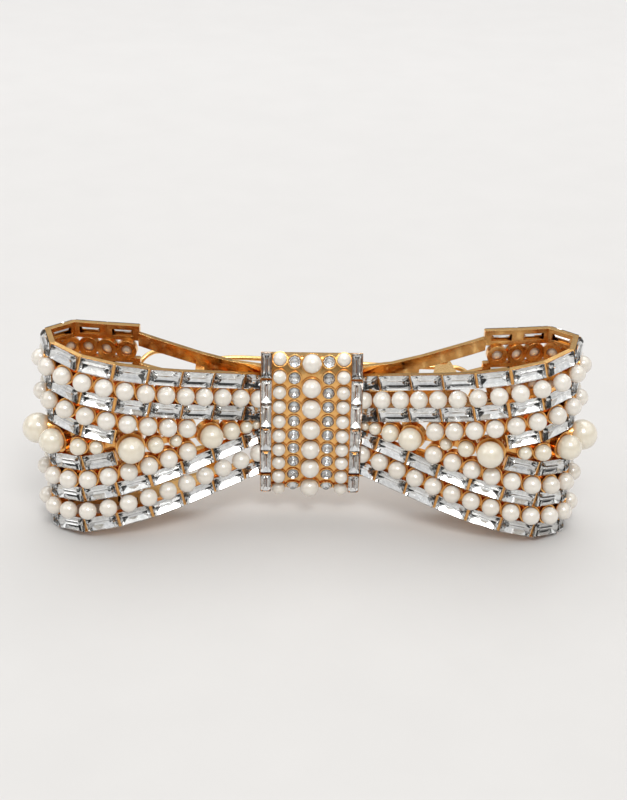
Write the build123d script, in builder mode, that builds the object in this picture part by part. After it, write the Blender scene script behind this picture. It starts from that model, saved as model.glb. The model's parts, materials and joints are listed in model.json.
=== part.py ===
from build123d import *
import os

os.makedirs("parts", exist_ok=True)

# A hair barrette in the shape of a bow. Each teardrop loop is brazed from strips: rails of
# links that carry baguette crystals, chains of cups that carry pearls, and a plain lattice
# behind. A jewelled knot band holds the loops at the waist, and a spring clip is riveted
# behind them.
# Millimetres. +X runs along the bow, +Y points into the hair, +Z is up, and the origin is
# the centre of the whole clip's box. The clip is symmetric left to right.

# ---------------------------------------------------------------- driving dimensions
WAIST_Y = -4.0  # the bow's waist line, where the two loops meet behind the knot
GLUE = 0.06  # gap left round every stone for its glue

# Loop wall: plan of the wall's centre line from the waist, round the end and back
LOOP_PLAN = [
    (7.4, 3.9),
    (11.0, 2.2),
    (18.0, -0.9),
    (27.0, -5.1),
    (35.0, -8.1),
    (44.0, -9.6),
    (49.6, -9.1),
    (54.8, -6.0),
    (57.4, -1.0),
    (56.3, 3.3),
    (52.0, 5.7),
    (46.3, 5.1),
    (37.6, 3.9),
]
WALL = 2.4  # thickness of the wall through the pearl cups
RAIL_WAIST_Z = 9.5  # height of the top rail where the plan starts
RAIL_SLOPE = 0.23  # rise of the rails for each millimetre along the wall
RAIL_END_Z = 21.0  # height of the top rail round the loop's end
ROW_STEP = 3.9  # distance from a row to the one below it

# Links that hold the baguettes
LINK_PITCH = 7.25
LINK_START = 1.2
LINK_COUNT = 11
LINK_HEIGHT = 3.5
LINK_THICK = 1.2
LINK_LIFT = -0.1  # middle of a link, above the wall's centre line
POCKET_FLOOR = -0.3  # floor of a link's pocket, above the wall's centre line
LINK_OVERLAP = 0.3  # neighbouring links run into each other where they are brazed
BAGUETTE = (6.5, 2.9, 1.9)
BAGUETTE_BEVEL = 0.5
WINDOW = (4.6, 1.5)

# Cups that hold the pearls
PEARL = 4.0
PEARL_PITCH = 4.3
PEARL_SINK = 0.75  # how far a pearl reaches behind the wall's centre line
CUP_WALL = 0.28
CUP_LIP = 0.45  # height of a cup's lip above the wall's centre line
CUP_HOLE = 0.6  # hole behind a pearl, as a share of the pearl's radius
ROW_B_START = 5.1
ROW_D_START = 22.0
ROW_E_FIRST_LINK = 5
# Middle row: distance along the wall and pearl diameter
MIDDLE_ROW = [
    (5.3, 2.1),
    (7.8, 2.8),
    (11.6, 3.9),
    (16.6, 5.2),
    (24.4, 2.6),
    (29.0, 3.6),
    (34.3, 5.9),
    (41.6, 2.9),
    (45.3, 3.7),
    (51.1, 5.6),
    (63.0, 5.2),
    (69.0, 5.2),
    (75.0, 5.2),
]
TIP_AT = 56.7
TIP_PEARL = 6.8
# Spine and braces behind the middle row
SPINE_START = 5.2
SPINE_STEP = 3.0
SPINE_LINKS = 25
SPINE_HEIGHT = 1.4
SPINE_THICK = 0.7
# Braces from the spine to the rows above and below it: distance along the wall and length
BRACES = [
    (16.6, 4.0),
    (29.0, 4.0),
    (34.3, 4.2),
    (45.3, 2.8),
    (51.1, 3.8),
    (TIP_AT, 3.8),
    (63.0, 3.8),
    (69.0, 3.8),
    (75.0, 3.8),
]
WALL_END = LINK_START + LINK_COUNT * LINK_PITCH  # where the decorated wall stops, at the back

# Knot: a bowed plate with seven columns of stones
KNOT_HALF_WIDTH = 11.15
KNOT_PLATE = 1.0
KNOT_PROFILE = [(2.9, 15.9), (2.0, 14.4), (1.1, 8.0), (0.7, 0.0)]  # y and z, upper half
KNOT_DEPTH = 4.6  # the returns reach this far back
KNOT_SIDE_PEARL = 3.0
KNOT_SIDE_X = 7.0
KNOT_SIDE_PITCH = 3.5
KNOT_STONE = 2.6
KNOT_STONE_X = 3.77
KNOT_STONE_PITCH = 3.4
KNOT_CENTRE_PEARL = 4.2
KNOT_CENTRE_PITCH = 4.97
KNOT_BAGUETTE = (5.3, 2.0, 1.6)
KNOT_BAGUETTE_X = 9.9
KNOT_BAGUETTE_PITCH = 5.8

# Plain strips and strut at the back of a loop
BACK_Y = 3.7
STRIP = 1.2  # thickness
STRUT_X = 22.0
STRUT_WIDTH = 3.2

# Clip
CLIP_Z = 3.0  # the clip sits a little above the middle
BASE_Y = 5.5  # front face of the base bar
BASE_THICK = 1.0
BASE_HALF_WIDTH = 3.6
BASE_END = 36.0
RIVET_X = (7.0, STRUT_X)
RIVET_RADIUS = 0.9
PIN_X = 30.0
PIN_Y = 15.3
PIN_RADIUS = 0.6
RUNNING_GAP = 0.05
WIRE = 1.1
LEG_Z = 5.0  # the arm's two wires stand this far from the clip's mid-plane
EAR_Z = 6.35
EAR_THICK = 0.8
LATCH_X = -25.0
LATCH_Y = 18.6  # underside of the latch barbs
FINGER_Z = 3.7
FINGER_THICK = 0.8
FINGER_WIDTH = 2.4


def bow(x, y, z=0.0):
    """A point whose y is counted from the waist line."""
    return (x, WAIST_Y + y, z)


def finish(piece, name):
    """Label a finished piece and write it."""
    piece.part.label = name
    export_step(piece.part, f"parts/{name}.step")


# ---------------------------------------------------------------- places on the loop wall
with BuildLine() as plan_line:
    Spline(*[bow(x, y) for x, y in LOOP_PLAN])
wall_line = plan_line.line.edge()


def rail_z(distance):
    """Height of the top rail at a distance along the wall; it is straight along each link."""
    steps = (distance - LINK_START) / LINK_PITCH
    joints = [LINK_START + LINK_PITCH * (int(steps) + i) for i in (0, 1)]
    low, high = [min(RAIL_END_Z, RAIL_WAIST_Z + RAIL_SLOPE * joint) for joint in joints]
    return low + (high - low) * (steps - int(steps))


def wall_point(distance, height):
    spot = wall_line.position_at(distance, position_mode=PositionMode.LENGTH)
    return Vector(spot.X, spot.Y, height)


def facing(centre, ahead):
    """Location with x along the wall, y up and z out of the loop."""
    outward = Vector(ahead.Y, -ahead.X, 0)
    return Plane(origin=centre, x_dir=ahead, z_dir=outward).location


def on_wall(distance, height):
    """Location of a round seat on the wall."""
    ahead = wall_line.tangent_at(distance, position_mode=PositionMode.LENGTH)
    return facing(wall_point(distance, height), Vector(ahead.X, ahead.Y, 0))


def link_at(index, drop, side):
    """Location of a straight link between two joints of a rail, above or below the middle."""
    start = LINK_START + index * LINK_PITCH
    stop = min(start + LINK_PITCH, WALL_END)
    first = wall_point(start, side * (rail_z(start) - drop))
    last = wall_point(stop, side * (rail_z(stop) - drop))
    return facing((first + last) / 2, last - first)


def pearl_row(start, drop, side):
    """Seats of one row of equal pearls, above or below the middle."""
    count = int((WALL_END - PEARL / 2 - start) / PEARL_PITCH) + 1
    spots = [start + PEARL_PITCH * i for i in range(count)]
    return [(on_wall(s, side * (rail_z(s) - drop)), PEARL) for s in spots]


def rail(row, side):
    """Places of the links of one rail; the short fifth row begins further along."""
    first = ROW_E_FIRST_LINK if row == 4 else 0
    return [link_at(i, row * ROW_STEP, side) for i in range(first, LINK_COUNT)]


both_sides = (1, -1)
rails = [rail(row, side) for row in (0, 2, 4) for side in both_sides]
links = [place for one_rail in rails for place in one_rail]
pearl_rows = {
    side: [pearl_row(ROW_B_START, ROW_STEP, side), pearl_row(ROW_D_START, 3 * ROW_STEP, side)]
    for side in both_sides
}
pearl_seats = [seat for side in both_sides for row in pearl_rows[side] for seat in row]
tip_seat = (on_wall(TIP_AT, 0), TIP_PEARL)
middle_seats = [(on_wall(s, 0), size) for s, size in MIDDLE_ROW]
spine_spots = [SPINE_START + SPINE_STEP * i for i in range(SPINE_LINKS)]
spine = [on_wall(s, 0) * Pos(0, 0, (SPINE_THICK - WALL) / 2) for s in spine_spots]
trim_plane = Plane(origin=(KNOT_HALF_WIDTH + GLUE, 0, 0), z_dir=(1, 0, 0))


def pearl_lift(size):
    """Height of a pearl's centre above the wall's centre line."""
    return size / 2 - PEARL_SINK


def add_cups(seats):
    """Short cylinders behind the pearls."""
    for seat, size in seats:
        with Locations(seat * Pos(0, 0, -WALL / 2)):
            Cylinder(
                size / 2 + CUP_WALL,
                WALL / 2 + CUP_LIP,
                align=(Align.CENTER, Align.CENTER, Align.MIN),
            )


def cut_seats(seats):
    """A round seat for every pearl and a hole behind it."""
    for seat, size in seats:
        with Locations(seat * Pos(0, 0, pearl_lift(size))):
            Sphere(size / 2 + GLUE, mode=Mode.SUBTRACT)
        with Locations(seat):
            Cylinder(CUP_HOLE * size / 2, 2 * WALL, mode=Mode.SUBTRACT)


# ---------------------------------------------------------------- loop frames
# Front view of the plain back, upper half: two strips, a strut, and the tab behind the knot
STRIP_END = 37.85
STRIP_OUTER = [(STRIP_END, 21.1), (32.0, 19.1), (24.0, 16.4), (17.5, 14.6), (2.8, 12.6)]
SECOND_OUTER = [(STRIP_END, 13.7), (29.0, 11.2), (21.0, 9.0)]
STRIP_HEIGHT = 3.0
STRUT_TOP = 15.0
TAB = (9.6, 12.0)  # length and half height
TAB_MIDDLE = 7.6
WAIST_BLOCK = (1.4, 1.75, 23.0)
WAIST_BLOCK_AT = (12.2, 3.21)
TALL = 30  # taller than the bow, for cuts and common volumes

with BuildPart() as right_back_lattice:
    # The front view, kept only where the plan of the back runs
    with BuildSketch(Plane.XZ):
        for outer in (STRIP_OUTER, SECOND_OUTER):
            inner = [(x, z - STRIP_HEIGHT) for x, z in reversed(outer)]
            with BuildLine():
                Polyline(*outer, *inner, close=True)
            make_face()
        with Locations((STRUT_X, STRUT_TOP / 2)):
            Rectangle(STRUT_WIDTH, STRUT_TOP)
        with Locations((TAB_MIDDLE, TAB[1] / 2)):
            Rectangle(*TAB)
        mirror(about=Plane.XZ)
        # Rivet holes above and below the middle, so one frame serves on either side
        with Locations(*[(x, side * CLIP_Z) for x in RIVET_X for side in both_sides]):
            Circle(RIVET_RADIUS + GLUE, mode=Mode.SUBTRACT)
    extrude(amount=TALL, both=True)
    with BuildSketch(Plane.XY):
        with BuildLine():
            Spline(bow(42.5, 4.2), bow(36.0, BACK_Y), bow(26.0, BACK_Y), bow(14.0, BACK_Y), bow(2.8, BACK_Y))
        trace(line_width=STRIP)
    extrude(amount=TALL, both=True, mode=Mode.INTERSECT)

    # Waist block, where the front and back of the loop are brazed together
    with Locations(bow(*WAIST_BLOCK_AT)):
        Box(*WAIST_BLOCK)
    cut_seats(middle_seats[:1] + [row[0] for side in both_sides for row in pearl_rows[side]])


def link_rail(one_rail):
    """One rail of straight links, each with a pocket for a baguette and a window behind it."""
    with BuildPart() as strip:
        with Locations(*[place * Pos(0, 0, LINK_LIFT) for place in one_rail]):
            Box(LINK_PITCH + LINK_OVERLAP, LINK_HEIGHT, LINK_THICK)
        with Locations(*[place * Pos(0, 0, POCKET_FLOOR) for place in one_rail]):
            Box(
                BAGUETTE[0] + 2 * GLUE,
                BAGUETTE[1] + 2 * GLUE,
                WALL,
                align=(Align.CENTER, Align.CENTER, Align.MIN),
                mode=Mode.SUBTRACT,
            )
        with Locations(*one_rail):
            Box(*WINDOW, 2 * WALL, mode=Mode.SUBTRACT)
        split(bisect_by=trim_plane, keep=Keep.TOP)
    return strip.part


def cup_chain(seats):
    """One chain of pearl cups, each brazed to the next."""
    with BuildPart() as chain:
        add_cups(seats)
        cut_seats(seats)
        split(bisect_by=trim_plane, keep=Keep.TOP)
    return chain.part


rail_strips = [link_rail(one_rail) for one_rail in rails]
with BuildPart() as right_rails:
    add(rail_strips)

upper_chains, lower_chains = [[cup_chain(row) for row in pearl_rows[side]] for side in both_sides]
with BuildPart() as right_upper_cups:
    add(upper_chains)
with BuildPart() as right_lower_cups:
    add(lower_chains)

with BuildPart() as right_middle_cups:
    with Locations(*spine):
        Box(SPINE_STEP + LINK_OVERLAP, SPINE_HEIGHT, SPINE_THICK)
    for distance, length in BRACES:
        for side in both_sides:
            with Locations(on_wall(distance, side * length / 2) * Pos(0, 0, (SPINE_THICK - WALL) / 2)):
                Box(SPINE_HEIGHT, length, SPINE_THICK)
    add_cups(middle_seats + [tip_seat])
    cut_seats(middle_seats + [tip_seat])
    split(bisect_by=trim_plane, keep=Keep.TOP)

# ---------------------------------------------------------------- stones of the loops
with BuildPart() as baguette:
    Box(*BAGUETTE)
    chamfer(baguette.edges().group_by(Axis.Z)[-1], BAGUETTE_BEVEL)
baguette_lift = POCKET_FLOOR + GLUE + BAGUETTE[2] / 2

with BuildPart() as right_baguettes:
    with Locations(*[place * Pos(0, 0, baguette_lift) for place in links]):
        add(baguette.part)
    split(bisect_by=trim_plane, keep=Keep.TOP)

with BuildPart() as right_pearls:
    with Locations(*[seat * Pos(0, 0, pearl_lift(PEARL)) for seat, _ in pearl_seats]):
        Sphere(PEARL / 2)
    split(bisect_by=trim_plane, keep=Keep.TOP)

with BuildPart() as right_middle_pearls:
    for seat, size in middle_seats:
        with Locations(seat * Pos(0, 0, pearl_lift(size))):
            Sphere(size / 2)
    split(bisect_by=trim_plane, keep=Keep.TOP)

with BuildPart() as right_tip_pearl:
    with Locations(tip_seat[0] * Pos(0, 0, pearl_lift(TIP_PEARL))):
        Sphere(TIP_PEARL / 2)

# The loops are the same above and below their middle, so half a turn makes the left one
right_pieces = {
    "back_lattice": right_back_lattice,
    "rails": right_rails,
    "upper_cups": right_upper_cups,
    "lower_cups": right_lower_cups,
    "middle_cups": right_middle_cups,
    "loop_baguettes": right_baguettes,
    "loop_pearls": right_pearls,
    "middle_pearls": right_middle_pearls,
    "tip_pearl": right_tip_pearl,
}
turned_names = {"upper_cups": "lower_cups", "lower_cups": "upper_cups"}
for name, piece in right_pieces.items():
    finish(piece, f"right_{name}")
    with BuildPart() as left_piece:
        add(piece.part, rotation=(0, 180, 0), clean=False)
    finish(left_piece, f"left_{turned_names.get(name, name)}")

# ---------------------------------------------------------------- knot
lower_half = [(y, -z) for y, z in KNOT_PROFILE[:-1]]
knot_points = [(WAIST_Y + y, z) for y, z in lower_half + KNOT_PROFILE[::-1]]
with BuildLine() as knot_side_view:
    Spline(*knot_points)
knot_line = knot_side_view.line.edge()
knot_middle = knot_line.length / 2


def on_knot(x, height):
    """Location on the knot's plate: x across, y up along the plate, z out to the front."""
    distance = knot_middle + height
    spot = knot_line.position_at(distance, position_mode=PositionMode.LENGTH)
    ahead = knot_line.tangent_at(distance, position_mode=PositionMode.LENGTH)
    front = Vector(0, -ahead.Y, ahead.X)
    return Plane(origin=(x, spot.X, spot.Y), x_dir=(1, 0, 0), z_dir=front).location


def knot_column(x, pitch, count):
    """Seats in two mirrored columns, evenly spaced about the middle."""
    heights = [pitch * (i - (count - 1) / 2) for i in range(count)]
    columns = (x, -x) if x else (0,)
    return [on_knot(side, height) for height in heights for side in columns]


side_seats = knot_column(KNOT_SIDE_X, KNOT_SIDE_PITCH, 10)
stone_seats = knot_column(KNOT_STONE_X, KNOT_STONE_PITCH, 10)
centre_seats = knot_column(0, KNOT_CENTRE_PITCH, 7)
edge_seats = knot_column(KNOT_BAGUETTE_X, KNOT_BAGUETTE_PITCH, 6)
side_lift = KNOT_SIDE_PEARL / 2 - 0.25
centre_lift = KNOT_CENTRE_PEARL / 2 - 0.45
STONE_CUP = 0.3  # wall of the cups round the rhinestones
COLLAR_TOP = 0.8  # the cups' lips stand this far in front of the plate's centre line
KNOT_CUP_WALL = 0.25


def collar(radius):
    Cylinder(radius, COLLAR_TOP, align=(Align.CENTER, Align.CENTER, Align.MIN))


with BuildPart() as knot_band:
    with BuildSketch(Plane.YZ):
        with BuildLine():
            add(knot_line)
        trace(line_width=KNOT_PLATE)
        # Returns that run back over the top and bottom of the waist
        for side in both_sides:
            with Locations((WAIST_Y + (KNOT_PROFILE[0][0] + KNOT_DEPTH) / 2 - 0.2, side * KNOT_PROFILE[0][1])):
                Rectangle(KNOT_DEPTH - KNOT_PROFILE[0][0] + 0.4, KNOT_PLATE)
    extrude(amount=KNOT_HALF_WIDTH, both=True)
    with Locations(*side_seats):
        collar(KNOT_SIDE_PEARL / 2 + KNOT_CUP_WALL)
    with Locations(*stone_seats):
        collar(KNOT_STONE / 2 + STONE_CUP)
    with Locations(*centre_seats):
        collar(KNOT_CENTRE_PEARL / 2 + KNOT_CUP_WALL)
    with Locations(*edge_seats):
        Box(
            2 * (KNOT_HALF_WIDTH - KNOT_BAGUETTE_X),
            KNOT_BAGUETTE_PITCH,
            COLLAR_TOP,
            align=(Align.CENTER, Align.CENTER, Align.MIN),
        )
    with Locations(*[seat * Pos(0, 0, side_lift) for seat in side_seats]):
        Sphere(KNOT_SIDE_PEARL / 2 + GLUE, mode=Mode.SUBTRACT)
    with Locations(*[seat * Pos(0, 0, centre_lift) for seat in centre_seats]):
        Sphere(KNOT_CENTRE_PEARL / 2 + GLUE, mode=Mode.SUBTRACT)
    with Locations(*stone_seats):
        Cylinder(
            KNOT_STONE / 2 + GLUE,
            2,
            align=(Align.CENTER, Align.CENTER, Align.MIN),
            mode=Mode.SUBTRACT,
        )
    with Locations(*edge_seats):
        Box(
            KNOT_BAGUETTE[1] + 2 * GLUE,
            KNOT_BAGUETTE[0] + 2 * GLUE,
            2,
            align=(Align.CENTER, Align.CENTER, Align.MIN),
            mode=Mode.SUBTRACT,
        )
finish(knot_band, "knot_band")

with BuildPart() as knot_side_pearls:
    with Locations(*[seat * Pos(0, 0, side_lift) for seat in side_seats]):
        Sphere(KNOT_SIDE_PEARL / 2)
finish(knot_side_pearls, "knot_side_pearls")

with BuildPart() as knot_centre_pearls:
    with Locations(*[seat * Pos(0, 0, centre_lift) for seat in centre_seats]):
        Sphere(KNOT_CENTRE_PEARL / 2)
finish(knot_centre_pearls, "knot_centre_pearls")

# A rhinestone: flat table, sloping crown, thin girdle and a shallow foil-backed cone
STONE_TABLE = 0.7
STONE_CROWN = 0.55
STONE_GIRDLE = 0.15
STONE_DEPTH = 0.75
with BuildPart() as rhinestone:
    with BuildSketch(Plane.XZ):
        with BuildLine():
            Polyline(
                (0, 0),
                (0.3, 0),
                (KNOT_STONE / 2, STONE_DEPTH),
                (KNOT_STONE / 2, STONE_DEPTH + STONE_GIRDLE),
                (STONE_TABLE, STONE_DEPTH + STONE_GIRDLE + STONE_CROWN),
                (0, STONE_DEPTH + STONE_GIRDLE + STONE_CROWN),
                close=True,
            )
        make_face()
    revolve(axis=Axis.Z)

with BuildPart() as knot_rhinestones:
    with Locations(*[seat * Pos(0, 0, GLUE) for seat in stone_seats]):
        add(rhinestone.part)
finish(knot_rhinestones, "knot_rhinestones")

with BuildPart() as edge_baguette:
    Box(
        KNOT_BAGUETTE[1],
        KNOT_BAGUETTE[0],
        KNOT_BAGUETTE[2],
        align=(Align.CENTER, Align.CENTER, Align.MIN),
    )
    chamfer(edge_baguette.edges().group_by(Axis.Z)[-1], BAGUETTE_BEVEL)

with BuildPart() as knot_baguettes:
    with Locations(*[seat * Pos(0, 0, GLUE) for seat in edge_seats]):
        add(edge_baguette.part)
finish(knot_baguettes, "knot_baguettes")

# Back plate that closes the knot behind the loops' tabs
PLATE_Y = 4.35
PLATE_THICK = 1.1
PLATE_HALF_HEIGHT = 15.3
with BuildPart() as knot_back_plate:
    with Locations(bow(0, PLATE_Y + PLATE_THICK / 2)):
        Box(2 * KNOT_HALF_WIDTH - 0.8, PLATE_THICK, 2 * PLATE_HALF_HEIGHT)
    fillet(knot_back_plate.edges().filter_by(Axis.Y), 1.5)
    with Locations(*[Location(bow(x, PLATE_Y, CLIP_Z), (90, 0, 0)) for x in (7.0, -7.0)]):
        Cylinder(RIVET_RADIUS + GLUE, 4 * PLATE_THICK, mode=Mode.SUBTRACT)
finish(knot_back_plate, "knot_back_plate")

# ---------------------------------------------------------------- clip
rivet_spots = [side * x for x in RIVET_X for side in both_sides]
CLIP_PLANE = Plane(origin=bow(0, 0, CLIP_Z), x_dir=(1, 0, 0), z_dir=(0, 0, 1))  # y from the waist
SPRING_RIVET_X = 28.5
BASE_BACK = BASE_Y + BASE_THICK
EAR_FOOT = 6.4
EAR_TOP = 2.6

with BuildPart() as clip_base:
    # Bar with rounded ends
    with BuildSketch(Plane.XZ.offset(-WAIST_Y - BASE_Y)):
        with Locations((0, CLIP_Z)):
            SlotOverall(2 * BASE_END, 2 * BASE_HALF_WIDTH)
        with Locations((PIN_X, CLIP_Z)):
            RectangleRounded(EAR_FOOT, 2 * EAR_Z + EAR_THICK, 0.3)
    extrude(amount=-BASE_THICK)
    # Two ears that carry the hinge pin
    with BuildSketch(CLIP_PLANE.offset(EAR_Z - EAR_THICK / 2)):
        with BuildLine():
            Polyline(
                (PIN_X - EAR_FOOT / 2, BASE_Y + 0.3),
                (PIN_X - EAR_TOP / 2, PIN_Y + 1.6),
                (PIN_X + EAR_TOP / 2, PIN_Y + 1.6),
                (PIN_X + EAR_FOOT / 2, BASE_Y + 0.3),
                close=True,
            )
        make_face()
        with Locations((PIN_X, PIN_Y)):
            Circle(PIN_RADIUS + 0.02, mode=Mode.SUBTRACT)
    extrude(amount=EAR_THICK)
    mirror(about=CLIP_PLANE)
    with Locations(*[Location(bow(x, BASE_Y, CLIP_Z), (90, 0, 0)) for x in rivet_spots]):
        Cylinder(RIVET_RADIUS + GLUE, 4 * BASE_THICK, mode=Mode.SUBTRACT)
    with Locations(Location(bow(SPRING_RIVET_X, BASE_Y, CLIP_Z), (90, 0, 0))):
        Cylinder(RIVET_RADIUS + GLUE, 4 * BASE_THICK, mode=Mode.SUBTRACT)
finish(clip_base, "clip_base")

SPACER = (3.2, 6.0)
with BuildPart() as strut_spacers:
    with BuildSketch(Plane.XZ.offset(-WAIST_Y - PLATE_Y)):
        with Locations((STRUT_X, CLIP_Z), (-STRUT_X, CLIP_Z)):
            RectangleRounded(*SPACER, 0.4)
            Circle(RIVET_RADIUS + GLUE, mode=Mode.SUBTRACT)
    extrude(amount=-PLATE_THICK)
finish(strut_spacers, "strut_spacers")

# Rivets: shank through the whole stack, with a domed head at each end
HEAD_RADIUS = 1.45
HEAD_HEIGHT = 0.6
STACK_FRONT = BACK_Y - STRIP / 2 - GLUE
STACK_BACK = BASE_BACK + GLUE


def rivet(front, back):
    """A rivet on the Y axis with a domed head at each end of its grip."""
    with BuildPart() as blank:
        with BuildSketch(Plane.XY):
            with BuildLine():
                Polyline(
                    (0, front - HEAD_HEIGHT),
                    (HEAD_RADIUS * 0.6, front - HEAD_HEIGHT),
                    (HEAD_RADIUS, front),
                    (RIVET_RADIUS, front),
                    (RIVET_RADIUS, back),
                    (HEAD_RADIUS, back),
                    (HEAD_RADIUS * 0.6, back + HEAD_HEIGHT),
                    (0, back + HEAD_HEIGHT),
                    close=True,
                )
            make_face()
        revolve(axis=Axis.Y)
    return blank


long_rivet = rivet(STACK_FRONT, STACK_BACK)
with BuildPart() as mounting_rivets:
    with Locations(*[bow(x, 0, CLIP_Z) for x in rivet_spots]):
        add(long_rivet.part)
finish(mounting_rivets, "mounting_rivets")

SPRING_THICK = 0.4
SPRING_PLAY = 0.16  # room above and below the leaf's root, so that it can tilt
SPRING_Y = BASE_BACK + SPRING_PLAY + SPRING_THICK / 2
SPRING_WIDTH = 4.4
SPRING_ROOT = (SPRING_RIVET_X + 1.9, SPRING_RIVET_X - 1.6)  # the flat stretch round the rivet
short_rivet = rivet(BASE_Y - GLUE, SPRING_Y + SPRING_THICK / 2 + SPRING_PLAY)
with BuildPart() as spring_rivet:
    with Locations(bow(SPRING_RIVET_X, 0, CLIP_Z)):
        add(short_rivet.part)
finish(spring_rivet, "spring_rivet")

# Tension spring: a bowed leaf, flat where it is riveted
with BuildPart() as tension_spring:
    with BuildSketch(CLIP_PLANE.offset(-SPRING_WIDTH / 2)):
        with BuildLine():
            Line((SPRING_ROOT[0], SPRING_Y), (SPRING_ROOT[1], SPRING_Y))
            Spline(
                (SPRING_ROOT[1], SPRING_Y),
                (22.5, 7.95),
                (14.0, 10.2),
                (2.0, 12.0),
                (-10.0, 12.1),
                (-20.0, 10.4),
                tangents=((-1, 0), (-1, -0.35)),
            )
        trace(line_width=SPRING_THICK)
    extrude(amount=SPRING_WIDTH)
    with Locations(Location(bow(SPRING_RIVET_X, SPRING_Y, CLIP_Z), (90, 0, 0))):
        Cylinder(RIVET_RADIUS + GLUE, 2, mode=Mode.SUBTRACT)
finish(tension_spring, "tension_spring")

PIN_HEAD = (1.1, 0.5)
PIN_HALF = EAR_Z + EAR_THICK / 2 + 0.1
with BuildPart() as hinge_pin:
    with Locations(bow(PIN_X, PIN_Y, CLIP_Z)):
        Cylinder(PIN_RADIUS, 2 * PIN_HALF)
    for side in both_sides:
        with Locations(bow(PIN_X, PIN_Y, CLIP_Z + side * (PIN_HALF + PIN_HEAD[1] / 2 - 0.05))):
            Cylinder(*PIN_HEAD)
finish(hinge_pin, "hinge_pin")

# Clasp arm: a wire hairpin with a thumb lip at one end and a short heel past the hinge
LEG = [
    (29.2, 15.3),
    (17.0, 15.9),
    (3.0, 17.2),
    (-12.0, 18.6),
    (-19.0, 18.7),
    (-25.0, 17.7),
    (-31.0, 20.6),
    (-36.0, 21.4),
]
LIP_SLOPE = (-0.8, -0.6)  # the lip turns back towards the bow
HEEL_START = 30.8
HEEL_BEND = 32.2
EYE_RADIUS = 1.6
EYE_HEIGHT = 1.6


def wire(path):
    """Round wire along a path."""
    with BuildPart() as length_of_wire:
        with BuildSketch(Plane(origin=path @ 0, z_dir=path % 0)):
            Circle(WIRE / 2)
        sweep(path=path)
    return length_of_wire.part


def leg(side):
    height = CLIP_Z + side * LEG_Z
    with BuildLine() as path:
        Spline(*[bow(x, y, height) for x, y in LEG], tangents=((-1, 0, 0), (*LIP_SLOPE, 0)))
    return wire(path.line)


def half_turn(start, middle):
    """Half circle of wire that joins the two legs; start and middle are x and y."""
    with BuildLine() as path:
        ThreePointArc(
            bow(*start, CLIP_Z + LEG_Z), bow(*middle, CLIP_Z), bow(*start, CLIP_Z - LEG_Z)
        )
    return wire(path.line)


lip_start = LEG[-1]
lip_middle = (lip_start[0] + LEG_Z * LIP_SLOPE[0], lip_start[1] + LEG_Z * LIP_SLOPE[1])
heel_ends = [half_turn((HEEL_BEND, PIN_Y), (HEEL_BEND + LEG_Z, PIN_Y))]
for side in both_sides:
    height = CLIP_Z + side * LEG_Z
    with BuildLine() as short_leg:
        Line(bow(HEEL_START, PIN_Y, height), bow(HEEL_BEND, PIN_Y, height))
    heel_ends.append(wire(short_leg.line))

with BuildPart() as clasp_arm:
    with Locations(*[bow(PIN_X, PIN_Y, CLIP_Z + side * LEG_Z) for side in both_sides]):
        Cylinder(EYE_RADIUS, EYE_HEIGHT)
        Cylinder(PIN_RADIUS + RUNNING_GAP, EYE_HEIGHT, mode=Mode.SUBTRACT)
    add(heel_ends)
    add([leg(1), leg(-1)])
    add(half_turn(lip_start, lip_middle))
finish(clasp_arm, "clasp_arm")

# Latch fingers: squeezed together, their barbs let go of the arm's wires
FINGER_FOOT = BASE_BACK + 0.12
BARB = (0.9, 1.3)  # thickness along y and reach past the finger


def latch_finger(side):
    """One finger; its outline is seen along the bow, from the foot to the barb."""
    inner = CLIP_Z + side * (FINGER_Z - FINGER_THICK / 2)
    outer = CLIP_Z + side * (FINGER_Z + FINGER_THICK / 2)
    foot = WAIST_Y + FINGER_FOOT
    barb = WAIST_Y + LATCH_Y
    with BuildPart() as finger:
        with BuildSketch(Plane.YZ.offset(LATCH_X - FINGER_WIDTH / 2)):
            with BuildLine():
                Polyline(
                    (foot, inner),
                    (foot, outer),
                    (barb, outer),
                    (barb, outer + side * BARB[1]),
                    (barb + BARB[0], outer + side * 0.5),
                    (barb + 1.6 * BARB[0], outer),
                    (barb + 1.6 * BARB[0], inner),
                    close=True,
                )
            make_face()
        extrude(amount=FINGER_WIDTH)
    return finger


upper_latch_finger = latch_finger(1)
finish(upper_latch_finger, "upper_latch_finger")
lower_latch_finger = latch_finger(-1)
finish(lower_latch_finger, "lower_latch_finger")
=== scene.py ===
import json
import math

import bmesh
import bpy
import numpy as np
from mathutils import Matrix, Vector


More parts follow.
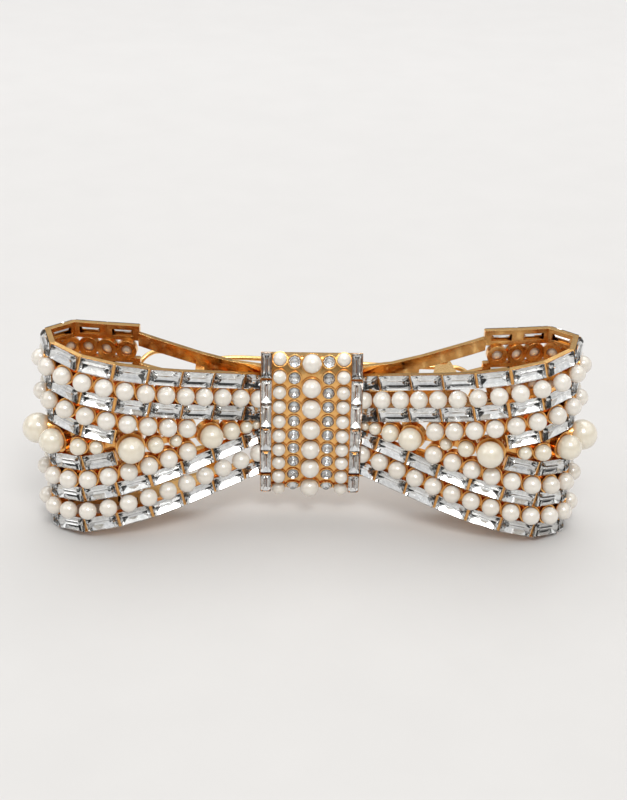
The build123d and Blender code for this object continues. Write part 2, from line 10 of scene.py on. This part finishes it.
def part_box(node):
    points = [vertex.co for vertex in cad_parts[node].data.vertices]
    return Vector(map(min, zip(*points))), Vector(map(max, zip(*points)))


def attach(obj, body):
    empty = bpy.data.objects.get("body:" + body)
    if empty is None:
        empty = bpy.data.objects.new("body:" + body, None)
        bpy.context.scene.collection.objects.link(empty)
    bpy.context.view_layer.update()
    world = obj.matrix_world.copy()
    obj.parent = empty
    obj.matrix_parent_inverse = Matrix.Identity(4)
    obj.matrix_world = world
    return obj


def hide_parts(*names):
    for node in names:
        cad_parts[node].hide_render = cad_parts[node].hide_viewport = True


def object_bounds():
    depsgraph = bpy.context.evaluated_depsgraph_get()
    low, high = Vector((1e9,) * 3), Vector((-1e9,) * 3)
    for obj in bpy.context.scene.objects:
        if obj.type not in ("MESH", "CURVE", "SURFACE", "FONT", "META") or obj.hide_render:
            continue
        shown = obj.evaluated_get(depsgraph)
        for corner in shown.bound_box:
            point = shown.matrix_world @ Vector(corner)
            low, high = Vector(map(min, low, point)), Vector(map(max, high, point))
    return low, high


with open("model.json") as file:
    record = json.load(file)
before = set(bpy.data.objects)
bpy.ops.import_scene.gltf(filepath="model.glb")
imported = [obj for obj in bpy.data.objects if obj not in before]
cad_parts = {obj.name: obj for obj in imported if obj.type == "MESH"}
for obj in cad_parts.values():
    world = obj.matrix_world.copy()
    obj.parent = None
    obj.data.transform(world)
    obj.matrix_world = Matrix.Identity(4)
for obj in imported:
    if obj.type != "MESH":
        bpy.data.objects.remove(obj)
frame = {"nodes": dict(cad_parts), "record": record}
cad_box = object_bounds()
nodes = frame["nodes"]
MM = 0.001

# ------------------------------------------------------------------ node helpers
MIX_FACTOR, MIX_FIRST, MIX_SECOND, MIX_RESULT = 0, 6, 7, 2  # the Mix node's colour sockets
WHITE = (1.0, 1.0, 1.0)


def new_material(name):
    material = bpy.data.materials.new(name)
    material.use_nodes = True
    material.node_tree.nodes.clear()
    return material, material.node_tree


def node(tree, kind, **values):
    """Adds a shader node; values are inputs by name, or properties where there is no such input."""
    made = tree.nodes.new(kind)
    # Where two inputs share a name, the first one counts
    by_name = {socket.name.lower().replace(" ", "_"): socket for socket in reversed(list(made.inputs))}
    for key, value in values.items():
        if key in by_name:
            by_name[key].default_value = value
        else:
            setattr(made, key, value)
    return made


def link(tree, source, target):
    tree.links.new(source, target)


def noise(tree, scale, detail=3.0, stretch=(1, 1, 1)):
    """Noise in the object's own metres."""
    place = node(tree, "ShaderNodeTexCoord")
    mapping = node(tree, "ShaderNodeMapping", scale=stretch)
    texture = node(tree, "ShaderNodeTexNoise", scale=scale, detail=detail)
    link(tree, place.outputs["Object"], mapping.inputs["Vector"])
    link(tree, mapping.outputs["Vector"], texture.inputs["Vector"])
    return texture.outputs["Fac"]


def grey(value):
    return (value, value, value)


def ramp(tree, source, stops):
    """Colour ramp from (position, colour) stops."""
    made = node(tree, "ShaderNodeValToRGB")
    elements = made.color_ramp.elements
    while len(elements) < len(stops):
        elements.new(0.5)
    for element, (position, colour) in zip(elements, stops):
        element.position = position
        element.color = (*colour, 1.0)
    link(tree, source, made.inputs["Fac"])
    return made.outputs["Color"]


def blend_colours(tree, factor, first, second, mode="MIX"):
    made = node(tree, "ShaderNodeMix", data_type="RGBA", blend_type=mode)
    for socket, value in ((MIX_FACTOR, factor), (MIX_FIRST, first), (MIX_SECOND, second)):
        if isinstance(value, bpy.types.NodeSocket):
            link(tree, value, made.inputs[socket])
        else:
            made.inputs[socket].default_value = value
    return made.outputs[MIX_RESULT]


def multiply(tree, first, second):
    return blend_colours(tree, 1.0, first, second, "MULTIPLY")


def relief(tree, height, strength, distance):
    """Bump node over a height, with the distance in millimetres."""
    bump = node(tree, "ShaderNodeBump", strength=strength, distance=distance * MM)
    link(tree, height, bump.inputs["Height"])
    return bump


def per_stone(tree, stops):
    """Colour that differs from one stone of a piece to the next."""
    geometry = node(tree, "ShaderNodeNewGeometry")
    return ramp(tree, geometry.outputs["Random Per Island"], stops)


def finish_material(tree, surface, bump, **inputs):
    """Plugs colours and relief into a surface shader, and the shader into the output."""
    for name, source in inputs.items():
        link(tree, source, surface.inputs[name.replace("_", " ").title()])
    link(tree, bump.outputs["Normal"], surface.inputs["Normal"])
    output = node(tree, "ShaderNodeOutputMaterial")
    link(tree, surface.outputs["BSDF"], output.inputs["Surface"])


# ------------------------------------------------------------------ materials
PAINTED_SHADE_REACH = 2.2 * MM  # how far round a point the painted corner shade looks for a corner
EDGE_RADIUS = 0.09 * MM  # rounding that catches the light along the metal's edges
NACRE_IOR = 2.3  # pearl coat reflects more than plain lacquer
GLASS_IOR = 1.5
FOIL_ROUGHNESS = 0.06


def gold(name, bright, painted_corner_shade, rough, grain=(1, 1, 1)):
    """Plated metal: brighter on open faces and edges, darker in corners by painted shade, with fine rub
    marks.
    """
    material, tree = new_material(name)
    # Painted shade: an ambient occlusion lookup blends the colour towards the darker corner colour in
    # corners and recesses
    shade = node(tree, "ShaderNodeAmbientOcclusion", samples=8, distance=PAINTED_SHADE_REACH)
    painted_shade_tone = ramp(tree, shade.outputs["AO"], [(0.25, painted_corner_shade), (0.85, bright)])
    cloud = ramp(tree, noise(tree, 420, 4), [(0.3, (0.90, 0.86, 0.80)), (0.7, WHITE)])
    colour = multiply(tree, painted_shade_tone, cloud)
    rub_marks = [(0.3, grey(rough * 0.6)), (0.75, grey(rough * 1.7))]
    rubbed = ramp(tree, noise(tree, 1500, 5, grain), rub_marks)
    bump = relief(tree, noise(tree, 2600, 3, grain), 0.12, 0.03)
    round_edge = node(tree, "ShaderNodeBevel", samples=4, radius=EDGE_RADIUS)
    link(tree, round_edge.outputs["Normal"], bump.inputs["Normal"])
    surface = node(tree, "ShaderNodeBsdfPrincipled", metallic=1.0)
    finish_material(tree, surface, bump, base_color=colour, roughness=rubbed)
    return material


def pearl(name, body, edge, lustre):
    """Pearl coat: cream body, warmer towards its rim by a painted reflection of the gold, clear lacquer,
    and each pearl a little different.
    """
    material, tree = new_material(name)
    each = per_stone(tree, [(0.0, (0.93, 0.91, 0.88)), (1.0, WHITE)])
    # Painted reflection: the rim colour stands in for the gold frame reflected in the pearl's edges
    facing = node(tree, "ShaderNodeLayerWeight", blend=0.35)
    tone_with_painted_rim = ramp(tree, facing.outputs["Facing"], [(0.0, body), (0.55, body), (1.0, edge)])
    swirl = ramp(tree, noise(tree, 900, 4), [(0.3, (0.95, 0.94, 0.93)), (0.7, WHITE)])
    colour = multiply(tree, multiply(tree, tone_with_painted_rim, each), swirl)
    patches = [(0.3, grey(lustre * 0.8)), (0.7, grey(lustre * 1.3))]
    patchy = ramp(tree, noise(tree, 1400, 3), patches)
    bump = relief(tree, noise(tree, 3500, 4), 0.08, 0.02)
    surface = node(
        tree,
        "ShaderNodeBsdfPrincipled",
        subsurface_weight=0.05,
        subsurface_scale=0.6 * MM,
        subsurface_radius=(1.0, 0.75, 0.5),
        coat_weight=0.8,
        coat_roughness=0.12,
        ior=NACRE_IOR,
    )
    finish_material(tree, surface, bump, base_color=colour, roughness=patchy)
    return material


def crystal(name, tint, rough):
    """Clear cut glass with faint polish marks."""
    material, tree = new_material(name)
    marks = ramp(tree, noise(tree, 1800, 4, (1, 1, 4)), [(0.45, grey(0.0)), (0.8, grey(rough))])
    bump = relief(tree, noise(tree, 900, 2), 0.03, 0.01)
    cloud = ramp(tree, noise(tree, 300, 2), [(0.3, tint), (0.7, WHITE)])
    surface = node(tree, "ShaderNodeBsdfGlass", ior=GLASS_IOR)
    finish_material(tree, surface, bump, color=cloud, roughness=marks)
    return material


def foil(name, bright, dull):
    """Mirror foil behind a stone; it differs from stone to stone."""
    material, tree = new_material(name)
    each = per_stone(tree, [(0.0, dull), (0.55, bright), (1.0, bright)])
    worn = ramp(tree, noise(tree, 1100, 4), [(0.35, grey(0.80)), (0.7, WHITE)])
    bump = relief(tree, noise(tree, 1300, 3), 0.05, 0.01)
    surface = node(tree, "ShaderNodeBsdfPrincipled", metallic=1.0, roughness=FOIL_ROUGHNESS)
    finish_material(tree, surface, bump, base_color=multiply(tree, each, worn))
    return material


# The second colour of each metal is painted corner shade, not a colour of the plating
GOLD = gold("polished_gold", (1.0, 0.63, 0.25), (0.66, 0.25, 0.04), 0.16)
CLIP_GOLD = gold("clip_gold", (1.0, 0.66, 0.28), (0.62, 0.28, 0.06), 0.22, (1, 6, 6))
SPRING_GOLD = gold("spring_gold", (0.95, 0.62, 0.28), (0.58, 0.29, 0.08), 0.32, (1, 8, 8))
# The second colour of each pearl coat is the painted rim reflection of the gold
PEARL = pearl("pearl_coat", (0.92, 0.87, 0.79), (0.80, 0.60, 0.42), 0.20)
LARGE_PEARL = pearl("large_pearl_coat", (0.91, 0.84, 0.69), (0.78, 0.58, 0.34), 0.18)
CRYSTAL = crystal("step_cut_glass", (0.97, 0.98, 0.99), 0.04)
RHINESTONE = crystal("brilliant_cut_glass", (0.95, 0.97, 1.0), 0.03)
SILVER_FOIL = foil("silver_foil", (0.97, 0.97, 0.96), (0.80, 0.79, 0.77))

# ------------------------------------------------------------------ reading the stones
WELD_REACH = 0.002 * MM
SLIVER = 1e-6  # square millimetres; smaller faces have no reliable direction
SAME_WAY = 0.999  # cosine between directions that count as one
SQUARE_TO = 0.02  # cosine between directions that count as square to each other


def islands(name):
    """Each separate solid of a node as (corners in millimetres, faces as corner indices)."""
    work = bmesh.new()
    work.from_mesh(nodes[name].data)
    bmesh.ops.remove_doubles(work, verts=work.verts, dist=WELD_REACH)
    work.verts.ensure_lookup_table()
    seen = set()
    found = []
    for start in work.verts:
        if start in seen:
            continue
        group, stack = [], [start]
        seen.add(start)
        while stack:
            corner = stack.pop()
            group.append(corner)
            for edge in corner.link_edges:
                other = edge.other_vert(corner)
                if other not in seen:
                    seen.add(other)
                    stack.append(other)
        index = {corner: i for i, corner in enumerate(group)}
        faces = {face for corner in group for face in corner.link_faces}
        ordered = sorted(faces, key=lambda face: face.index)
        points = np.array([corner.co for corner in group]) / MM
        found.append((points, [[index[c] for c in face.verts] for face in ordered]))
    work.free()
    return found


def sphere_of(points):
    """Centre and radius of the sphere through a (cut) ball's corners."""
    table = np.hstack([2 * points, np.ones((len(points), 1))])
    solved = np.linalg.lstsq(table, (points**2).sum(1), rcond=None)[0]
    centre = solved[:3]
    return centre, math.sqrt(solved[3] + centre @ centre)


def face_groups(points, faces):
    """Area of each group of faces that share a direction."""
    groups = {}
    for face in faces:
        a, b, c = points[face[0]], points[face[1]], points[face[2]]
        cross = np.cross(b - a, c - a)
        area = np.linalg.norm(cross) / 2
        if area < SLIVER:
            continue
        direction = cross / (2 * area)
        key = next((k for k in groups if np.dot(k, direction) > SAME_WAY), tuple(direction))
        groups[key] = groups.get(key, 0) + area
    return groups


def stone_axes(points, faces):
    """Directions along, across and out of a box stone whose back is its largest face."""
    groups = face_groups(points, faces)
    out = -np.array(max(groups, key=groups.get))
    level = {k: v for k, v in groups.items() if abs(np.dot(k, out)) < SQUARE_TO}

    def pair_area(direction):
        opposite = [v for k, v in level.items() if np.dot(k, direction) < -SAME_WAY]
        return min(level[direction], opposite[0]) if opposite else 0.0

    across = np.array(max(level, key=pair_area))
    return np.cross(across, out), across, out


# ------------------------------------------------------------------ building the stones
def build_piece(name, stands_for, points, faces, materials, face_slots=None, smooth=False):
    """Makes one visible piece on the bow from millimetre corners and puts it in a CAD node's place."""
    mesh = bpy.data.meshes.new(name)
    mesh.from_pydata((np.array(points) * MM).tolist(), [], faces)
    for material in materials:
        mesh.materials.append(material)
    if face_slots is not None:
        mesh.polygons.foreach_set("material_index", face_slots)
    mesh.polygons.foreach_set("use_smooth", [smooth] * len(faces))
    trim_to_knot(mesh, stands_for)
    mesh.update()
    piece = bpy.data.objects.new(name, mesh)
    bpy.context.scene.collection.objects.link(piece)
    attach(piece, "bow")
    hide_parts(stands_for)


def trim_to_knot(mesh, stands_for):
    """Cuts a loop's stones off flat where the CAD cuts them, beside the knot."""
    side = 1 if stands_for.startswith("right") else -1 if stands_for.startswith("left") else 0
    if not side:
        return
    low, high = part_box(stands_for)
    limit = low.x if side > 0 else high.x
    work = bmesh.new()
    work.from_mesh(mesh)
    cut = bmesh.ops.bisect_plane(
        work,
        geom=work.verts[:] + work.edges[:] + work.faces[:],
        plane_co=(limit, 0, 0),
        plane_no=(side, 0, 0),
        clear_inner=True,
    )
    rim = [item for item in cut["geom_cut"] if isinstance(item, bmesh.types.BMEdge)]
    if rim:
        bmesh.ops.holes_fill(work, edges=rim)
    work.to_mesh(mesh)
    work.free()


def ball(subdivisions):
    """Corners and faces of a fine round ball of radius 1."""
    work = bmesh.new()
    bmesh.ops.create_icosphere(work, subdivisions=subdivisions, radius=1)
    points = np.array([corner.co for corner in work.verts])
    faces = np.array([[corner.index for corner in face.verts] for face in work.faces])
    work.free()
    return points, faces


OUT_OF_ROUND = 0.006  # share of the radius
WAVES_X, WAVES_Z = 3, 2  # radians of swell per radius along x and z
TURN_PER_PEARL = 2.4  # radians between the swells of one pearl and the next


def pearls(stands_for, subdivisions, material):
    """Pearls a little out of round, each in its own way, in the places of a node's balls."""
    unit, unit_faces = ball(subdivisions)
    points, faces = [], []
    for i, (corners, _) in enumerate(islands(stands_for)):
        centre, radius = sphere_of(corners)
        turn = TURN_PER_PEARL * i
        swell = np.sin(WAVES_X * unit[:, 0] + turn) * np.cos(WAVES_Z * unit[:, 2] - turn)
        points.append(centre + unit * (radius * (1 + OUT_OF_ROUND * (swell - 1)))[:, None])
        faces.append(unit_faces + i * len(unit))
    name = stands_for + "_lustrous"
    build_piece(name, stands_for, np.vstack(points), np.vstack(faces).tolist(), [material], smooth=True)


GLASS_SLOT, FOIL_SLOT = 0, 1
FOIL_RINGS = 2  # in both cuts, the first two stretches, up to the girdle, are foil backed

# Step cut, from the keel to the table: how far each ring stands in from the stone's sides
# along and across, and its height, all as shares of the stone's height. Where that is less
# than nothing, the stone stands past the plain CAD stone, over the edge of its link.
STEP_CUT = [
    (0.85, 0.70, -0.50),
    (0.02, 0.02, -0.14),
    (-0.11, -0.11, -0.07),
    (-0.11, -0.11, 0.12),
    (0.05, 0.05, 0.33),
    (0.27, 0.25, 0.50),
]
THINNEST_KEEL = 0.06  # half width in millimetres


def step_cut(length, width, height):
    """Corners, faces and face slots of a step-cut stone about its centre."""
    corners, faces, slots = [], [], []
    for inward_along, inward_across, level in STEP_CUT:
        half = length / 2 - inward_along * height
        reach = max(width / 2 - inward_across * height, THINNEST_KEEL)
        outline = ((half, reach), (-half, reach), (-half, -reach), (half, -reach))
        corners += [(x, y, level * height) for x, y in outline]
    for ring in range(len(STEP_CUT) - 1):
        for i in range(4):
            j = (i + 1) % 4
            faces.append([4 * ring + i, 4 * ring + j, 4 * ring + 4 + j, 4 * ring + 4 + i])
            slots.append(FOIL_SLOT if ring < FOIL_RINGS else GLASS_SLOT)
    faces.append([3, 2, 1, 0])
    slots.append(FOIL_SLOT)
    table = 4 * (len(STEP_CUT) - 1)
    faces.append([table, table + 1, table + 2, table + 3])
    slots.append(GLASS_SLOT)
    return np.array(corners), faces, slots


def baguettes(stands_for):
    """Step-cut stones in the places of a node's bevelled boxes."""
    side = -1 if stands_for.startswith("left") else 1
    found = []
    for corners, faces in islands(stands_for):
        along, across, out = stone_axes(corners, faces)
        if along[0] * side < 0:
            along, across = -along, -across
        axes = np.array([along, across, out])
        local = corners @ axes.T
        found.append((axes, local.min(0), local.max(0)))
    size = np.max([high - low for _, low, high in found], axis=0)
    unit, unit_faces, unit_slots = step_cut(*size)
    points, faces, slots = [], [], []
    for i, (axes, low, high) in enumerate(found):
        # Measured from its outer end, since the CAD cuts the stones beside the knot short;
        # build_piece trims the whole stone made here in the same place
        middle = (low + high) / 2
        middle[0] = high[0] - size[0] / 2
        points.append((unit + middle) @ axes)
        faces += [[corner + i * len(unit) for corner in face] for face in unit_faces]
        slots += unit_slots
    name = stands_for + "_step_cut"
    build_piece(name, stands_for, np.vstack(points), faces, [CRYSTAL, SILVER_FOIL], slots)


FACETS = 8

# Brilliant cut, from the culet to the table: each ring's share of the radius and of the
# height, and its turn in facets
BRILLIANT_CUT = [
    (0.10, 0.0, 0.0),
    (0.62, 0.28, 0.5),
    (1.0, 0.50, 0.0),
    (1.0, 0.58, 0.0),
    (0.80, 0.80, 0.5),
    (0.55, 1.0, 0.0),
]


def facet_band(low, high, lead):
    """Faces between the rings that start at corners low and high; lead is the upper one's turn."""
    faces = []
    for i in range(FACETS):
        j = (i + 1) % FACETS
        if lead == 0:
            faces += [[low + i, low + j, high + j, high + i]]
        elif lead > 0:
            faces += [[low + i, low + j, high + i], [low + j, high + j, high + i]]
        else:
            faces += [[low + i, low + j, high + j], [low + i, high + j, high + i]]
    return faces


def brilliant(radius, height):
    """Corners, faces and face slots of a brilliant-cut stone that stands on its culet."""
    corners, faces, slots = [], [], []
    for share, level, shift in BRILLIANT_CUT:
        turns = [2 * math.pi * (i + shift) / FACETS for i in range(FACETS)]
        reach = share * radius
        corners += [(reach * math.cos(t), reach * math.sin(t), level * height) for t in turns]
    for ring in range(len(BRILLIANT_CUT) - 1):
        lead = BRILLIANT_CUT[ring + 1][2] - BRILLIANT_CUT[ring][2]
        band = facet_band(ring * FACETS, (ring + 1) * FACETS, lead)
        faces += band
        slots += [FOIL_SLOT if ring < FOIL_RINGS else GLASS_SLOT] * len(band)
    faces.append(list(range(FACETS))[::-1])
    slots.append(FOIL_SLOT)
    table = (len(BRILLIANT_CUT) - 1) * FACETS
    faces.append([table + i for i in range(FACETS)])
    slots.append(GLASS_SLOT)
    return np.array(corners), faces, slots


def rhinestones(stands_for):
    """Brilliant-cut stones in the places of a node's turned stones, which are wider than high."""
    points, faces, slots = [], [], []
    for i, (corners, _) in enumerate(islands(stands_for)):
        _, directions = np.linalg.eigh(np.cov((corners - corners.mean(0)).T))
        # The stone's axis is its shortest direction, turned towards the front
        out = directions[:, 0] if directions[1, 0] < 0 else -directions[:, 0]
        across = np.array([1.0, 0.0, 0.0])
        axes = np.array([across, np.cross(out, across), out])
        local = corners @ axes.T
        low, high = local.min(0), local.max(0)
        size = high - low
        unit, unit_faces, unit_slots = brilliant(size[0] / 2, size[2])
        base = np.array([(low[0] + high[0]) / 2, (low[1] + high[1]) / 2, low[2]])
        points.append((unit + base) @ axes)
        faces += [[corner + i * len(unit) for corner in face] for face in unit_faces]
        slots += unit_slots
    name = stands_for + "_brilliant"
    build_piece(name, stands_for, np.vstack(points), faces, [RHINESTONE, SILVER_FOIL], slots)


# Subdivisions of the balls that the pearls are made from; larger pearls need more
SMALL, MEDIUM, LARGE = 3, 4, 5

for loop in ("right", "left"):
    pearls(f"{loop}_loop_pearls", SMALL, PEARL)
    pearls(f"{loop}_middle_pearls", MEDIUM, LARGE_PEARL)
    pearls(f"{loop}_tip_pearl", LARGE, LARGE_PEARL)
    baguettes(f"{loop}_loop_baguettes")
pearls("knot_side_pearls", SMALL, PEARL)
pearls("knot_centre_pearls", MEDIUM, PEARL)
baguettes("knot_baguettes")
rhinestones("knot_rhinestones")

# ------------------------------------------------------------------ metal finishes
METALS = {"gold_frame": GOLD, "clip_metal": CLIP_GOLD, "spring_metal": SPRING_GOLD}
for part in frame["record"]["subparts"]:
    metal = METALS.get(part["material_slot"])
    if metal:
        shown = nodes[part["node"]]
        shown.data.materials.clear()
        shown.data.materials.append(metal)

# ------------------------------------------------------------------ floor
FLOOR_HALF = 3.0  # metres
FLOOR_SQUARES = 40
FLOOR_GAP = 0.02 * MM
FALLOFF_FRONT, FALLOFF_BACK = -0.25, 0.35  # metres along y between which the painted shade on the paper changes


def paper():
    """Smooth pale paper of the studio table, darker towards the front by painted shade."""
    material, tree = new_material("pale_paper")
    grain = ramp(tree, noise(tree, 60, 3), [(0.3, grey(0.98)), (0.7, WHITE)])
    place = node(tree, "ShaderNodeTexCoord")
    split = node(tree, "ShaderNodeSeparateXYZ")
    link(tree, place.outputs["Object"], split.inputs["Vector"])
    depth = node(tree, "ShaderNodeMapRange", from_min=FALLOFF_FRONT, from_max=FALLOFF_BACK)
    link(tree, split.outputs["Y"], depth.inputs["Value"])
    # Painted shade: the paper's colour gets darker towards the front
    painted_falloff = ramp(tree, depth.outputs["Result"], [(0.0, (0.60, 0.59, 0.58)), (1.0, (0.775, 0.765, 0.76))])
    bump = relief(tree, noise(tree, 900, 4), 0.05, 0.05)
    surface = node(tree, "ShaderNodeBsdfPrincipled", roughness=0.55)
    finish_material(tree, surface, bump, base_color=multiply(tree, grain, painted_falloff))
    return material


floor_mesh = bpy.data.meshes.new("floor")
floor_work = bmesh.new()
bmesh.ops.create_grid(floor_work, x_segments=FLOOR_SQUARES, y_segments=FLOOR_SQUARES, size=FLOOR_HALF)
bmesh.ops.translate(floor_work, verts=floor_work.verts, vec=(0, 0, cad_box[0][2] - FLOOR_GAP))
floor_work.to_mesh(floor_mesh)
floor_work.free()
floor_mesh.materials.append(paper())
floor = bpy.data.objects.new("floor", floor_mesh)
bpy.context.scene.collection.objects.link(floor)

# ------------------------------------------------------------------ light
# The tent round the object, from straight below (0) over the horizon (0.5) to straight above (1)
TENT = [
    (0.0, (0.60, 0.59, 0.58)),
    (0.47, (0.66, 0.65, 0.63)),
    (0.56, (0.34, 0.33, 0.32)),
    (0.70, (0.36, 0.35, 0.34)),
    (0.77, (0.95, 0.95, 0.95)),
    (0.92, (1.2, 1.2, 1.19)),
    (1.0, WHITE),
]
BACKDROP = (*grey(0.84), 1.0)
LAMP_COLOUR = (1.0, 0.99, 0.97)

# Each softbox: place and aim in metres, width and height in metres, power in watts
SOFTBOXES = {
    "overhead": ((0.0, 0.65, 1.3), (0, 0.1, 0), (1.5, 1.1), 5.6),
    "key": ((0.10, -0.60, 0.85), (0, 0, 0), (0.38, 0.32), 3.6),
    "left_fill": ((-0.8, -0.2, 0.5), (0, 0, 0), (0.3, 0.5), 0.6),
}


def studio_world():
    """Plain pale surroundings for the camera; a light tent with darker gaps for the reflections."""
    world = bpy.data.worlds.new("studio")
    bpy.context.scene.world = world
    world.use_nodes = True
    tree = world.node_tree
    tree.nodes.clear()
    place = node(tree, "ShaderNodeTexCoord")
    split = node(tree, "ShaderNodeSeparateXYZ")
    link(tree, place.outputs["Generated"], split.inputs["Vector"])
    lift = node(tree, "ShaderNodeMath", operation="MULTIPLY_ADD")
    lift.inputs[1].default_value = 0.5
    lift.inputs[2].default_value = 0.5
    link(tree, split.outputs["Z"], lift.inputs[0])
    tent = ramp(tree, lift.outputs[0], TENT)
    around = node(tree, "ShaderNodeTexWave", scale=1.3, distortion=1.5, detail=1.0)
    link(tree, place.outputs["Generated"], around.inputs["Vector"])
    panels = ramp(tree, around.outputs["Fac"], [(0.25, (0.72, 0.72, 0.73)), (0.6, (1.0, 1.0, 0.99))])
    path = node(tree, "ShaderNodeLightPath")
    colour = blend_colours(tree, path.outputs["Is Camera Ray"], multiply(tree, tent, panels), BACKDROP)
    light = node(tree, "ShaderNodeBackground", strength=1.0)
    link(tree, colour, light.inputs["Color"])
    output = node(tree, "ShaderNodeOutputWorld")
    link(tree, light.outputs["Background"], output.inputs["Surface"])


def softbox(name, spot, aim, size, power):
    lamp = bpy.data.lights.new(name, "AREA")
    lamp.shape = "RECTANGLE"
    lamp.size, lamp.size_y = size
    lamp.energy = power
    lamp.color = LAMP_COLOUR
    holder = bpy.data.objects.new(name, lamp)
    holder.location = spot
    holder.rotation_euler = (Vector(spot) - Vector(aim)).to_track_quat("Z", "Y").to_euler()
    bpy.context.scene.collection.objects.link(holder)


studio_world()
for name, setting in SOFTBOXES.items():
    softbox(name, *setting)
bpy.context.scene.view_settings.view_transform = "Standard"

# ------------------------------------------------------------------ camera
CAMERA_AT = Vector((-0.00657, -0.3399, 0.1782))
TURN = math.radians(-1.2)  # about the upright axis
TILT = math.radians(27.0)  # looking down
ROLL = math.radians(1.29)  # about the line of sight
FOCAL_LENGTH, SENSOR_WIDTH = 77.3, 36.0  # millimetres
NEAREST = 0.01  # metres

lens = bpy.data.cameras.new("camera")
lens.lens = FOCAL_LENGTH
lens.sensor_width = SENSOR_WIDTH
lens.clip_start = NEAREST
back = Vector((math.sin(TURN) * math.cos(TILT), -math.cos(TURN) * math.cos(TILT), math.sin(TILT)))
right = Vector((math.cos(TURN), math.sin(TURN), 0))
up = back.cross(right)
right_rolled = right * math.cos(ROLL) + up * math.sin(ROLL)
up_rolled = up * math.cos(ROLL) - right * math.sin(ROLL)
pose = Matrix((right_rolled, up_rolled, back)).transposed().to_4x4()
pose.translation = CAMERA_AT
camera = bpy.data.objects.new("camera", lens)
camera.matrix_world = pose
bpy.context.scene.collection.objects.link(camera)
bpy.context.scene.camera = camera
